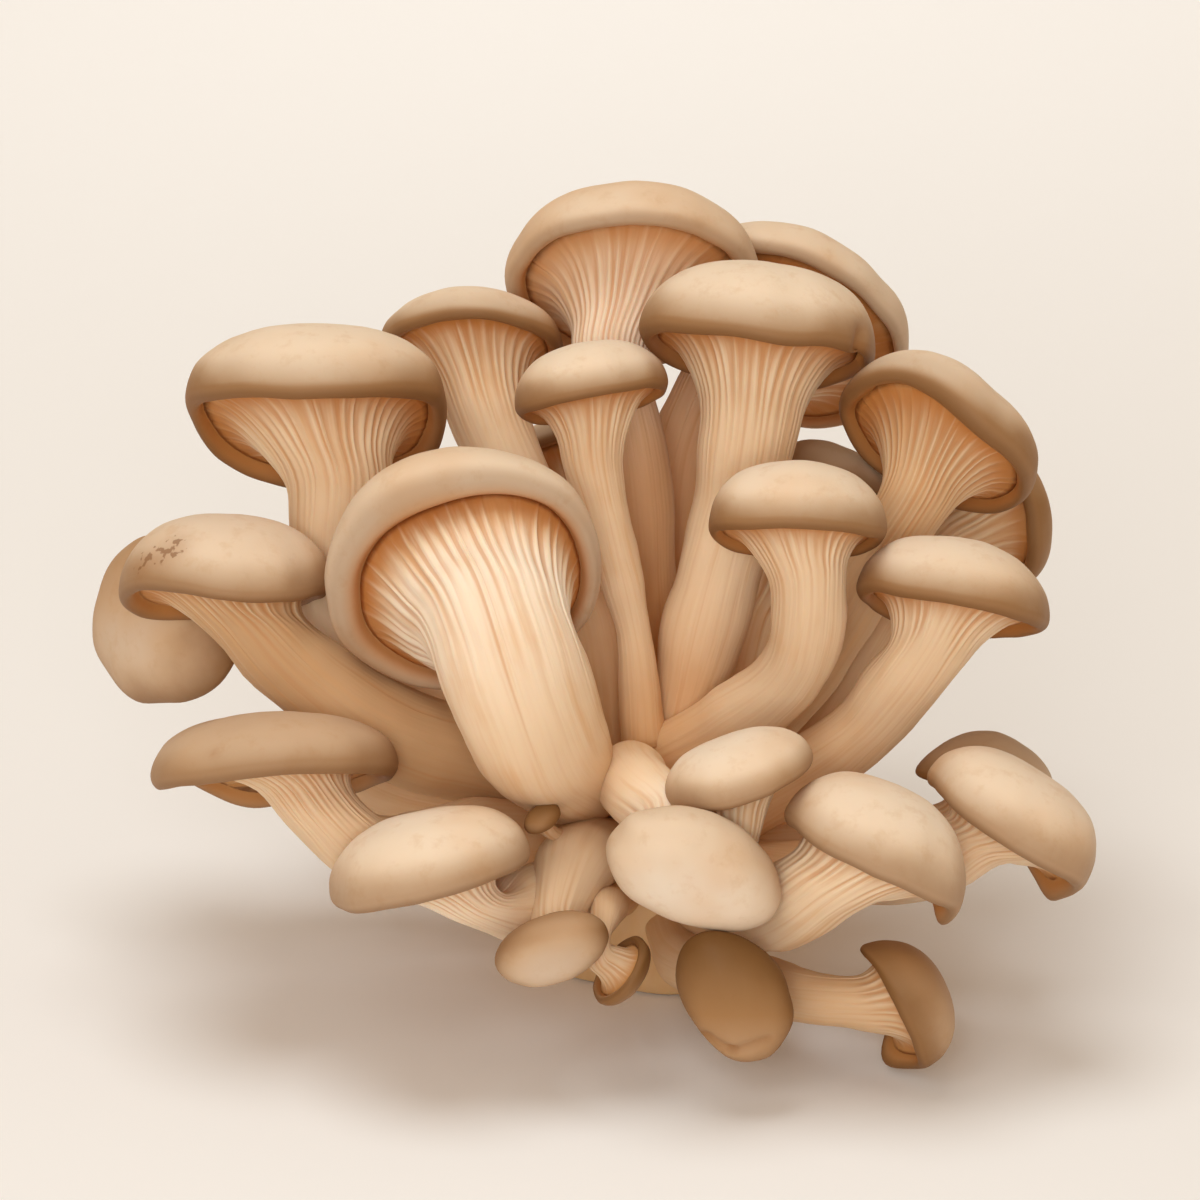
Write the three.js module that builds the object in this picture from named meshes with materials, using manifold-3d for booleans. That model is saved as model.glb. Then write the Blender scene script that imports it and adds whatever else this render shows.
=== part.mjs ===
// Oyster mushroom cluster: thirty mushrooms grown from one foot.
// Every mushroom but the smallest is two bodies: its cap and, under it, the gills and the stem in one. All
// the stems run up to the foot, whose cut face is what the cluster stands on. Millimetres and degrees.
//
// The mushrooms are laid out in a growth frame: X to the right, Y up and Z to the front of the cluster.
// Every point is then tipped back into the part's frame: +Z up, +Y to the back and the origin at the middle
// of the cut face.
import * as THREE from "three";
import { mergeVertices } from "three/addons/utils/BufferGeometryUtils.js";
import Module from "manifold-3d";

const wasm = await Module();
wasm.setup();

// ---- Driving dimensions ----
const TIP_BACK = 20; // how far the growth frame leans back over the foot
const FOOT_CENTRE = [0, 10.2, -28]; // middle of the cut face, in the growth frame
const FOOT_RADIUS = 21;
const FOOT_HEIGHT = 40;
const FOOT_LEAN = 10; // how far the top of the foot lies in front of its face
const GAP = 0.35; // clearance between neighbouring bodies
const GILL_HEIGHT = 0.032; // half the height of a gill ridge, as a share of the cap's radius
const SEAT = -0.04; // height of the top of the gills over the rim plane, as a share of the cap's radius

// ---- The mushrooms ----
// at: middle of the cap's rim plane. radius: half the cap's width. lean: how far the top faces to the back.
// roll: how far it leans to the right. dome: height of the crown over the rim plane, and lip: width of the
// rolled margin, both as a share of the radius. oval and turn: the cap's depth over its width, and how far
// the long way is turned round the cap. saddle: lift of the front and back of the margin, as a share of the
// radius, while its sides fall as much. stem: [x, y, z, radius] along its middle, from the root to the neck
// where the gills begin. gills: ridges round it. flare: how late the gills spread out to the margin.
// whole: cap and stem are one body.
// Three lists of [angle from the front, amount, spread] vary it round the cap, in shares of the radius:
// lobes lift or droop the margin, bulges push it out or in and curl widens the lip.
const MUSHROOMS = [
  // the tall one in front and the small ones at its foot
  { name: "front_left_tall", at: [-33.3, 80.5, 24], radius: 24.7, lean: 56, roll: -8, dome: 0.5, lip: 0.14,
    curl: [[-15, 0.24, 42], [-90, 0.05, 35]], bulges: [[-125, 0.06, 25]], flare: 1.35,
    stem: [[-12, 42, 10, 8], [-18, 47.5, 30, 11.2], [-21, 53.5, 38, 12.4], [-27, 69.5, 40, 13]],
    gills: 28 },
  { name: "front_centre", at: [7, 28.6, 55], radius: 16.2, lean: -62, roll: 180, dome: 0.5, lip: 0.2,
    oval: 0.66, turn: -22, bulges: [[-143, 0.13, 24], [-65, -0.08, 26], [60, -0.06, 26]],
    stem: [[-3, 44, 8, 6], [-2.5, 41, 32, 6.5], [4, 35, 44, 6.5]], gills: 12 },
  { name: "front_bud", at: [15.6, 43.6, 46], radius: 13.2, lean: -8, roll: -18, dome: 0.6, lip: 0.2,
    saddle: -0.05, stem: [[5, 30, 4, 4.5], [12, 24.5, 33, 4.5], [15.2, 34.5, 44.5, 5]], gills: 12 },
  { name: "front_right", at: [39.5, 31, 46], radius: 17.6, lean: -2, roll: 24, dome: 0.68, lip: 0.2,
    saddle: -0.05, lobes: [[80, -0.12, 35], [105, -0.27, 16]], stem: [[8, 20, 0, 6.5], [20, 19.6, 31, 7.4],
    [30.5, 25.2, 44.8, 8.6]], gills: 18 },
  { name: "front_left_low", at: [-39, 26.9, 42], radius: 18, lean: -3, roll: -12, dome: 0.61, lip: 0.2,
    saddle: -0.06, lobes: [[-70, -0.08, 35]], stem: [[-8, 24, 4, 8], [-20, 21.6, 27.5, 6.8],
    [-30.8, 21, 41, 5.4]], gills: 18 },
  { name: "low_centre", at: [14.6, 4.8, 48], radius: 13, lean: -60, roll: 180, dome: 0.5, lip: 0.25,
    oval: 0.74, turn: -66, bulges: [[30, 0.16, 30], [125, -0.15, 25]], stem: [[4, 12, 4, 5], [9, 9, 28, 5],
    [15, 8.5, 41, 5]], gills: 12 },
  { name: "low_left", at: [-17.5, 13.8, 46], radius: 10.6, lean: -55, roll: 180, dome: 0.5, lip: 0.25,
    oval: 0.62, turn: 26, stem: [[-8, 30, 6, 7.5], [-14, 26.5, 28, 7], [-17, 17.2, 40, 4.2]], gills: 10 },
  { name: "low_bud", at: [-5.2, 9.2, 36], radius: 6.8, lean: 25, roll: 125, dome: 0.45, lip: 0.25,
    stem: [[-5, 22, 8, 3], [-6, 21, 30, 2.8], [-9.5, 16.6, 38.8, 2.6], [-9.1, 12.3, 38.4, 2.7]],
    gills: 10 },
  { name: "low_right", at: [45.2, 4.1, 34], radius: 12.6, lean: -2, roll: 66, dome: 0.6, lip: 0.2,
    lobes: [[135, -0.6, 24], [-90, -0.2, 30]], bulges: [[-90, -0.06, 30]], stem: [[12, 8, 2, 5.5],
    [27, 4.6, 30, 5.2], [37.5, 3.4, 35.5, 5.4]], gills: 15 },
  { name: "tiny_bud", whole: true, at: [-19.2, 36.3, 37], radius: 3.6, lean: -60, roll: 20, dome: 0.6,
    lip: 0.25, stem: [[-10, 32, 8, 2], [-15, 32, 24, 2], [-18.5, 34.5, 33.5, 1.8]], gills: 8 },
  // the big ones behind and beside them
  { name: "middle_right", at: [26, 87.3, 26], radius: 16, lean: 10, roll: 2, dome: 0.75, lip: 0.16,
    saddle: -0.04, stem: [[3, 46, 0, 6], [12, 51, 6, 6.5], [22, 58.5, 14, 7], [28, 67, 21, 6],
    [28, 78, 26, 6.8]], gills: 20 },
  { name: "right", at: [54, 74.6, 22], radius: 17.4, lean: 10, roll: 8, dome: 0.64, lip: 0.18,
    saddle: -0.06, lobes: [[75, -0.12, 35]], stem: [[12, 34, -2, 6], [37, 50.5, 13, 6.2],
    [44, 58.5, 18.5, 6.7], [49.7, 66, 22.5, 7.4]], gills: 20 },
  { name: "left", at: [-76.5, 78.3, 12], radius: 18.8, lean: 6, roll: 3, dome: 0.64, lip: 0.18,
    saddle: -0.06, lobes: [[-120, -0.26, 40], [25, -0.12, 30]], stem: [[-15, 42, -4, 8], [-46, 51, 8, 9],
    [-61, 61, 11, 8], [-70.3, 69.8, 12, 9.4]], gills: 20 },
  { name: "left_low", at: [-67, 45.2, 24], radius: 22, lean: 7, roll: 0, dome: 0.43, lip: 0.16,
    saddle: -0.05, lobes: [[-75, -0.15, 30], [-165, -0.1, 16], [-115, 0.12, 20]], flare: 3,
    stem: [[-12, 32, 3, 6], [-35, 32.5, 13, 6.5], [-46.5, 29.5, 22, 7.2], [-57.2, 36, 27.5, 7.8]],
    gills: 24 },
  { name: "far_right", at: [64, 35, 32], radius: 17.6, lean: -2, roll: 33, dome: 0.62, lip: 0.2,
    saddle: -0.04, lobes: [[70, -0.02, 30], [125, -0.34, 22]], bulges: [[90, -0.06, 30]],
    stem: [[14, 27, -8, 5.5], [47, 26.5, 27, 5.8], [56.5, 32, 31.5, 6.6]], gills: 15 },
  { name: "tall_right", at: [19.5, 121.6, -4], radius: 21.8, lean: 11, roll: 7, dome: 0.65, lip: 0.16,
    saddle: -0.06, stem: [[4, 46, -6, 4], [8, 62, -4, 7.2], [12, 78, -3, 7.6], [16, 93, -2, 8],
    [18, 106, 0, 8.8]], gills: 24 },
  { name: "upper_small", at: [-10.5, 111.5, 4], radius: 14, lean: 8, roll: -10, dome: 0.7, lip: 0.16,
    saddle: -0.05, stem: [[-1, 48, 3, 4.5], [-1.5, 60, 3, 3], [-4.5, 77, 4, 3.8], [-8, 90, 4, 4.6],
    [-10, 100, 5, 5.6]], gills: 14 },
  { name: "upper_right", at: [52.5, 104, 0], radius: 19.4, lean: 27, roll: 28, dome: 0.53, lip: 0.16,
    lobes: [[-35, 0.14, 30], [25, -0.09, 30]], curl: [[10, 0.14, 30]], stem: [[12, 44, -12, 6],
    [30, 64, -5, 6], [39, 79, -2, 6], [47.5, 92, 4, 6.4]], gills: 20 },
  { name: "upper_left", at: [-60.5, 109.7, -4], radius: 24, lean: 17, roll: 0, dome: 0.59, lip: 0.14,
    saddle: -0.12, lobes: [[-135, -0.14, 35], [125, -0.2, 30]], stem: [[-10, 44, -20, 8],
    [-49.5, 64, -11, 8.6], [-56.3, 80, -5, 8.9], [-56, 95, -1, 9.6]], gills: 22 },
  { name: "crown", at: [-2.9, 134, -30], radius: 23.7, lean: 36, roll: 1, dome: 0.56, lip: 0.15,
    curl: [[0, 0.05, 50]], stem: [[-1, 40, -26, 6], [-1, 75, -24, 6.6], [-3, 100, -20, 6.6],
    [-7, 118, -19, 7]], gills: 22 },
  { name: "behind_left", at: [-33, 121.5, -26], radius: 17, lean: 25, roll: 0, dome: 0.5, lip: 0.16,
    stem: [[-6, 44, -14, 6], [-10, 73, -11, 6.4], [-24, 95, -18, 7], [-29.5, 109, -21, 7.6]], gills: 18 },
  { name: "behind_crown", at: [26, 126, -49], radius: 23.8, lean: 40, roll: 25, dome: 0.5, lip: 0.08,
    curl: [[-20, 0.1, 45]], stem: [[6, 36, -30, 6], [5, 72, -38, 6.4], [5.5, 96, -40, 7.4],
    [11, 111.5, -42.5, 7.4]], gills: 15 },
  { name: "behind_right", at: [63, 90.5, -27], radius: 15, lean: 35, roll: 72, dome: 0.5, lip: 0.2,
    stem: [[18, 31, -25, 6], [34, 53, -23, 6], [42, 68, -19, 6], [52, 84, -20, 6]], gills: 12 },
  { name: "outer_left", at: [-88.7, 73, -20], radius: 17.3, lean: -42, roll: -75, dome: 0.5, lip: 0.2,
    bulges: [[90, -0.2, 35], [-12, 0.3, 26]], stem: [[-14, 36, -24, 6], [-50, 42.5, -30, 8],
    [-62.5, 60.5, -32, 5.4], [-79.5, 70.5, -28, 6]], gills: 12 },
  { name: "outer_right", at: [61.6, 42.2, 7], radius: 12.5, lean: -10, roll: 30, dome: 0.68, lip: 0.2,
    lobes: [[-90, -0.36, 35]], bulges: [[-90, 0.04, 35]], stem: [[14, 28, -16, 4.5], [40, 31, -6, 4.5],
    [57, 36, 3, 4.6]], gills: 12 },
  { name: "behind_middle", at: [33.5, 95.2, -22], radius: 12.4, lean: 12, roll: 24, dome: 0.62, lip: 0.2,
    stem: [[14, 36, -22, 4.5], [26, 64, -19, 4.6], [31.5, 86, -20, 5]], gills: 10 },
  // the ones at the back
  { name: "back_upper", at: [-13, 93, -60], radius: 20, lean: 50, roll: -10, dome: 0.5, lip: 0.18,
    stem: [[-3, 30, -34, 6], [-6, 56, -43, 6.4], [-11, 81.4, -46, 7]], gills: 11 },
  { name: "back_right", at: [22, 74, -67], radius: 17.5, lean: 58, roll: 20, dome: 0.52, lip: 0.18,
    stem: [[7, 25, -38, 6], [13, 45, -50, 6], [18, 67.2, -54.7, 6.4]], gills: 10 },
  { name: "back_left", at: [-43, 70, -55], radius: 16, lean: 48, roll: -38, dome: 0.55, lip: 0.18,
    stem: [[-10, 26, -34, 6], [-22, 44, -44, 6], [-36, 63.3, -45, 6.2]], gills: 10 },
  { name: "back_low", at: [-4, 46, -66], radius: 14.5, lean: 72, roll: -6, dome: 0.52, lip: 0.2,
    stem: [[-1, 20, -38, 5.5], [-2, 30, -50, 5.5], [-3.5, 43, -57, 5.8]], gills: 10 },
];

// ---- Helpers ----
const rad = THREE.MathUtils.degToRad;
const mix = THREE.MathUtils.lerp;
const X = new THREE.Vector3(1, 0, 0);
const Y = new THREE.Vector3(0, 1, 0);
const Z = new THREE.Vector3(0, 0, 1);

// From the growth frame to the part's frame.
const uprightTurn = new THREE.Quaternion().setFromAxisAngle(X, rad(90 - TIP_BACK));
const footMiddle = new THREE.Vector3(...FOOT_CENTRE).applyQuaternion(uprightTurn);
const upright = (point) => point.applyQuaternion(uprightTurn).sub(footMiddle);

// A lathe whose points are then moved by place(angle, row, corner). A row keeps only every nth corner
// where every(row) is n, so that a plain stem spends fewer faces than the gills over it.
function latheSkin(rows, corners, place, every = () => 1) {
  const profile = rows.map((_, row) => new THREE.Vector2(row === 0 || row === rows.length - 1 ? 0 : 1, row));
  const skin = new THREE.LatheGeometry(profile, corners);
  const points = skin.getAttribute("position");
  for (let corner = 0; corner <= corners; corner++) {
    for (let row = 0; row < rows.length; row++) {
      const kept = (Math.round(corner / every(row)) * every(row)) % corners;
      const moved = place((2 * Math.PI * kept) / corners, row, kept);
      points.setXYZ(corner * rows.length + row, moved.x, moved.y, moved.z);
    }
  }
  return skin;
}

// A closed geometry as a solid that can be joined and cut.
function solidOf(geometry) {
  geometry.deleteAttribute("normal");
  geometry.deleteAttribute("uv");
  const merged = mergeVertices(geometry, 1e-3);
  const corners = merged.index.array;
  const kept = [];
  for (let i = 0; i < corners.length; i += 3) {
    const [a, b, c] = corners.slice(i, i + 3);
    if (a !== b && b !== c && c !== a) kept.push(a, b, c);
  }
  const vertProperties = new Float32Array(merged.getAttribute("position").array);
  return new wasm.Manifold(new wasm.Mesh({ numProp: 3, vertProperties, triVerts: new Uint32Array(kept) }));
}

// The largest piece of a solid, for a cut can leave a loose scrap.
const largest = (solid) => solid.decompose().reduce((a, b) => (a.volume() > b.volume() ? a : b));

function geometryOf(solid) {
  const mesh = solid.getMesh();
  const geometry = new THREE.BufferGeometry();
  geometry.setAttribute("position", new THREE.BufferAttribute(new Float32Array(mesh.vertProperties), 3));
  geometry.setIndex(new THREE.BufferAttribute(new Uint32Array(mesh.triVerts), 1));
  return geometry;
}

// ---- Caps ----
function capFrame(m) {
  const turn = new THREE.Quaternion().setFromAxisAngle(Z, rad(-m.roll));
  turn.multiply(new THREE.Quaternion().setFromAxisAngle(X, rad(-m.lean)));
  return { turn, middle: new THREE.Vector3(...m.at) };
}

// The sum of some smooth humps round the margin: [angle from the front, height, spread] of each.
function humps(list, angle) {
  let sum = 0;
  for (const [middle, amount, spread] of list) {
    sum += amount * Math.exp((Math.cos(angle - rad(middle)) - 1) / rad(spread) ** 2);
  }
  return sum;
}

// The point of a cap at a share of the way out, an angle from the front and a height over the rim plane.
function onCap(m, frame, out, angle, height) {
  const { oval = 1, turn = 0, saddle = 0, lobes = [], bulges = [] } = m;
  const along = angle - rad(turn);
  const bend = saddle * Math.cos(2 * angle) + humps(lobes, angle);
  const reach = out * (1 + out * out * humps(bulges, angle));
  const across = new THREE.Vector3(Math.sin(along), 0, Math.cos(along) * oval);
  across.applyAxisAngle(Y, rad(turn)).multiplyScalar(reach * m.radius);
  across.y = m.radius * (height + out * out * bend);
  return across.applyQuaternion(frame.turn).add(frame.middle);
}

// The width of the rolled margin at an angle from the front.
const lipAt = ({ lip, curl = [] }, angle) => lip + humps(curl, angle);

// Shares of the radius out and up, from the seat of the gills round the rolled margin to the crown. fat is
// added all over. A filled cap has no hollow under it.
function capProfile(m, angle, fat, filled) {
  const { dome } = m;
  const lip = lipAt(m, angle);
  const [middleDrop, drop] = [m.lip, lip].map((width) => 0.07 + 0.36 * width);
  const under = filled ? [[0, -middleDrop - fat]] : [[0, SEAT - fat], [1 - lip - fat, SEAT - fat]];
  return [
    ...under,
    [1 - lip * 0.68, -drop - fat],
    [1 - lip * 0.17 + fat * 0.7, -drop * 0.8 - fat * 0.7],
    [1 + fat, 0],
    [0.91 + fat * 0.8, dome * 0.4 + fat * 0.6],
    [0.68 + fat * 0.5, dome * 0.75 + fat * 0.9],
    [0.36 + fat * 0.2, dome * 0.95 + fat],
    [0, dome + fat],
  ];
}

function capSolid(m, plump = 0, filled = false) {
  const frame = capFrame(m);
  const corners = filled ? 12 : m.radius > 20 ? 20 : m.radius > 15 ? 18 : m.radius > 8 ? 15 : 10;
  const round = filled ? 1 / Math.cos(Math.PI / corners) : 1;
  const rows = (angle) => capProfile(m, angle, plump / m.radius, filled);
  const place = (angle, row) => {
    const [out, up] = rows(angle)[row];
    return upright(onCap(m, frame, out * round, angle, up));
  };
  return solidOf(latheSkin(rows(0), corners, place));
}

// ---- Gills and stems ----
// Where the skin has a ring of points: shares of the way up the stem, then from the neck out to the margin.
const stemRings = ({ radius }) =>
  radius > 20 ? [0, 0.25, 0.5, 0.75, 1] : radius > 13 ? [0, 0.33, 0.67, 1] : [0, 0.5, 1];
const gillRings = ({ radius }) => (radius > 13 ? [0.38, 0.72, 1] : [0.5, 1]);

// plump makes the whole body fatter by that much, for cutting room into a neighbour.
function stemSolid(m, plump = 0) {
  const frame = capFrame(m);
  const axis = Y.clone().applyQuaternion(frame.turn);
  const points = m.stem.map(([x, y, z]) => new THREE.Vector3(x, y, z));
  const inCap = points.at(-1).clone().addScaledVector(axis, 0.6 * m.radius);
  const line = new THREE.CatmullRomCurve3([...points, inCap]);
  const neck = points.at(-1).clone().sub(frame.middle).applyQuaternion(frame.turn.clone().invert());
  const neckRadius = m.stem.at(-1)[3];
  const fat = plump / m.radius;
  const gap = GAP / m.radius;
  const corners = plump ? 10 : 2 * m.gills;
  const round = plump ? 1 / Math.cos(Math.PI / corners) : 1;
  const rings = [...stemRings(m).map((s) => ({ s })), ...gillRings(m).map((t) => ({ t }))];
  const rows = [{ end: "root" }, ...rings, { end: "seat" }];
  const place = (angle, row, corner) => {
    const { end, s, t } = rows[row];
    if (end === "root") return upright(line.getPoint(0));
    if (end === "seat") return upright(onCap(m, frame, 0, 0, SEAT - gap));
    const ridge = plump || corner % 2 === 0 ? GILL_HEIGHT : -GILL_HEIGHT;
    if (s !== undefined) {
      const along = s * (m.stem.length - 1);
      const before = Math.min(Math.floor(along), m.stem.length - 2);
      const thick = mix(m.stem[before][3], m.stem[before + 1][3], along - before);
      const radius = (thick + plump + (s === 1 ? ridge * 0.6 * m.radius : 0)) * round;
      const share = along / m.stem.length;
      const turn = new THREE.Quaternion().setFromUnitVectors(axis, line.getTangent(share));
      turn.multiply(frame.turn).slerp(frame.turn, 0.7 * s ** 4);
      const out = new THREE.Vector3(Math.sin(angle), 0, Math.cos(angle)).multiplyScalar(radius);
      return upright(out.applyQuaternion(turn).add(line.getPoint(share)));
    }
    const edge = 1 - lipAt(m, angle) - gap;
    if (t === 1) return upright(onCap(m, frame, edge, angle, SEAT - gap));
    const { flare = 1.8 } = m;
    const out = mix(neckRadius / m.radius, edge, t ** flare) + ridge * 0.7 + fat;
    const height = SEAT - 0.05 + (neck.y / m.radius) * (1 - t) ** (0.9 * flare) - ridge * 0.7 - fat;
    const aside = new THREE.Vector3(neck.x, 0, neck.z).multiplyScalar((1 - t) ** 1.3);
    return upright(onCap(m, frame, out * round, angle, height).add(aside.applyQuaternion(frame.turn)));
  };
  const plain = plump ? 1 : m.gills < 15 ? 2 : m.gills < 20 ? 3 : 4;
  const every = ({ end, s, t }) => (s < 1 || end === "root" ? plain : t === 1 && !plump ? 2 : 1);
  return solidOf(latheSkin(rows, corners, place, (row) => every(rows[row])));
}

// ---- The foot ----
function footSolid(plump = 0) {
  const rows = [[0, 0], [0.95, 0], [1.04, 0.1], [1.08, 0.34], [1, 0.6], [0.8, 0.86], [0, 1]];
  const place = (angle, row) => {
    const [out, up] = rows[row];
    const lump = 1 + 0.07 * Math.sin(3 * angle + 0.6) + 0.04 * Math.sin(5 * angle + 2 * up);
    const radius = out && out * FOOT_RADIUS * lump + plump;
    const height = up * FOOT_HEIGHT + (up ? plump : -plump);
    return new THREE.Vector3(radius * Math.sin(angle), -radius * Math.cos(angle) - up * FOOT_LEAN, height);
  };
  return solidOf(latheSkin(rows, 24, place));
}

// ---- The cluster ----
// Every body is cut clear of the mushrooms that stand before its own in the table, and of the foot.
const cluster = new THREE.Group();
cluster.name = "oyster_mushroom_cluster";
const skin = { color: 0xcbb395, roughness: 0.55, metalness: 0 };
const flesh = { color: 0xe8cba3, roughness: 0.7, metalness: 0 };

function add(name, solid, look) {
  const mesh = new THREE.Mesh(geometryOf(solid), new THREE.MeshStandardMaterial(look));
  mesh.name = name;
  cluster.add(mesh);
}

const meets = (a, b) => {
  const [p, q] = [a.boundingBox(), b.boundingBox()];
  return [0, 1, 2].every((i) => p.min[i] < q.max[i] && q.min[i] < p.max[i]);
};
const clear = (solid, others) =>
  largest(others.filter((other) => meets(solid, other)).reduce((left, other) => left.subtract(other), solid));

add("foot", footSolid(), flesh);
const cutters = [footSolid(GAP)];
for (const m of MUSHROOMS) {
  if (m.whole) {
    add(m.name, clear(capSolid(m).add(stemSolid(m, 0.1)), cutters), skin);
  } else {
    add(m.name + "_cap", clear(capSolid(m), cutters), skin);
    add(m.name + "_stem", clear(stemSolid(m), cutters), flesh);
  }
  cutters.push(capSolid(m, GAP, true), stemSolid(m, GAP));
}

export default cluster;
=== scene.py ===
# %% [markdown]
# # A cluster of oyster mushrooms
# An oyster mushroom cluster is some thirty mushrooms that all grew from one foot. Each has a smooth,
# rounded cap with an inrolled margin, and gills that run from the margin down a fibrous stem. The
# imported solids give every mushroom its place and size. This lesson turns each of them into a finely
# modelled cap and stem in the same place, gives them their finishes, and sets up light and camera.

import math
import random

import bmesh
import bpy
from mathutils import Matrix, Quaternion, Vector, noise


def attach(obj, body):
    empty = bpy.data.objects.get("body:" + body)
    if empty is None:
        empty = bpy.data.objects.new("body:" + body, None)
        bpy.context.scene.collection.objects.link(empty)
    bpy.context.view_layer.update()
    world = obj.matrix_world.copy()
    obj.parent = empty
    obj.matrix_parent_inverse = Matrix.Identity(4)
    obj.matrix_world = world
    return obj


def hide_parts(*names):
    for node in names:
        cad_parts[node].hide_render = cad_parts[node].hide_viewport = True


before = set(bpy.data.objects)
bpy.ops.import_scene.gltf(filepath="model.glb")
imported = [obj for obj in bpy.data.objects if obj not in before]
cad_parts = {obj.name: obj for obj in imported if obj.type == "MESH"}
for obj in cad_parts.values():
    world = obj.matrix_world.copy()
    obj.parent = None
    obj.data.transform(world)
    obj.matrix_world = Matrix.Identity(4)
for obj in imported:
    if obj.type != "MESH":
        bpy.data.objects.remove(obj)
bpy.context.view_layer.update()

# %% [markdown]
# ## Where things are
# The mushrooms are easiest to describe in a growth frame: X to the right, Y up and Z to the front of
# the cluster, in millimetres. The cluster then leans back on its foot. One function does that last
# step, and gives metres with Z up, which is what Blender uses.

# %% From the growth frame to the scene
X, Y, Z = Vector((1, 0, 0)), Vector((0, 1, 0)), Vector((0, 0, 1))
TIP_BACK = 20  # degrees
FOOT_CENTRE = Vector((0, 10.2, -28))  # the middle of the foot's cut face, in the growth frame

upright_turn = Quaternion(X, math.radians(90 - TIP_BACK))
foot_middle = upright_turn @ FOOT_CENTRE


def upright(point):
    """A point of the growth frame, in mm, as a point of the scene, in metres."""
    return (upright_turn @ point - foot_middle) / 1000


print("middle of the cut face:", upright(FOOT_CENTRE))
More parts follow.
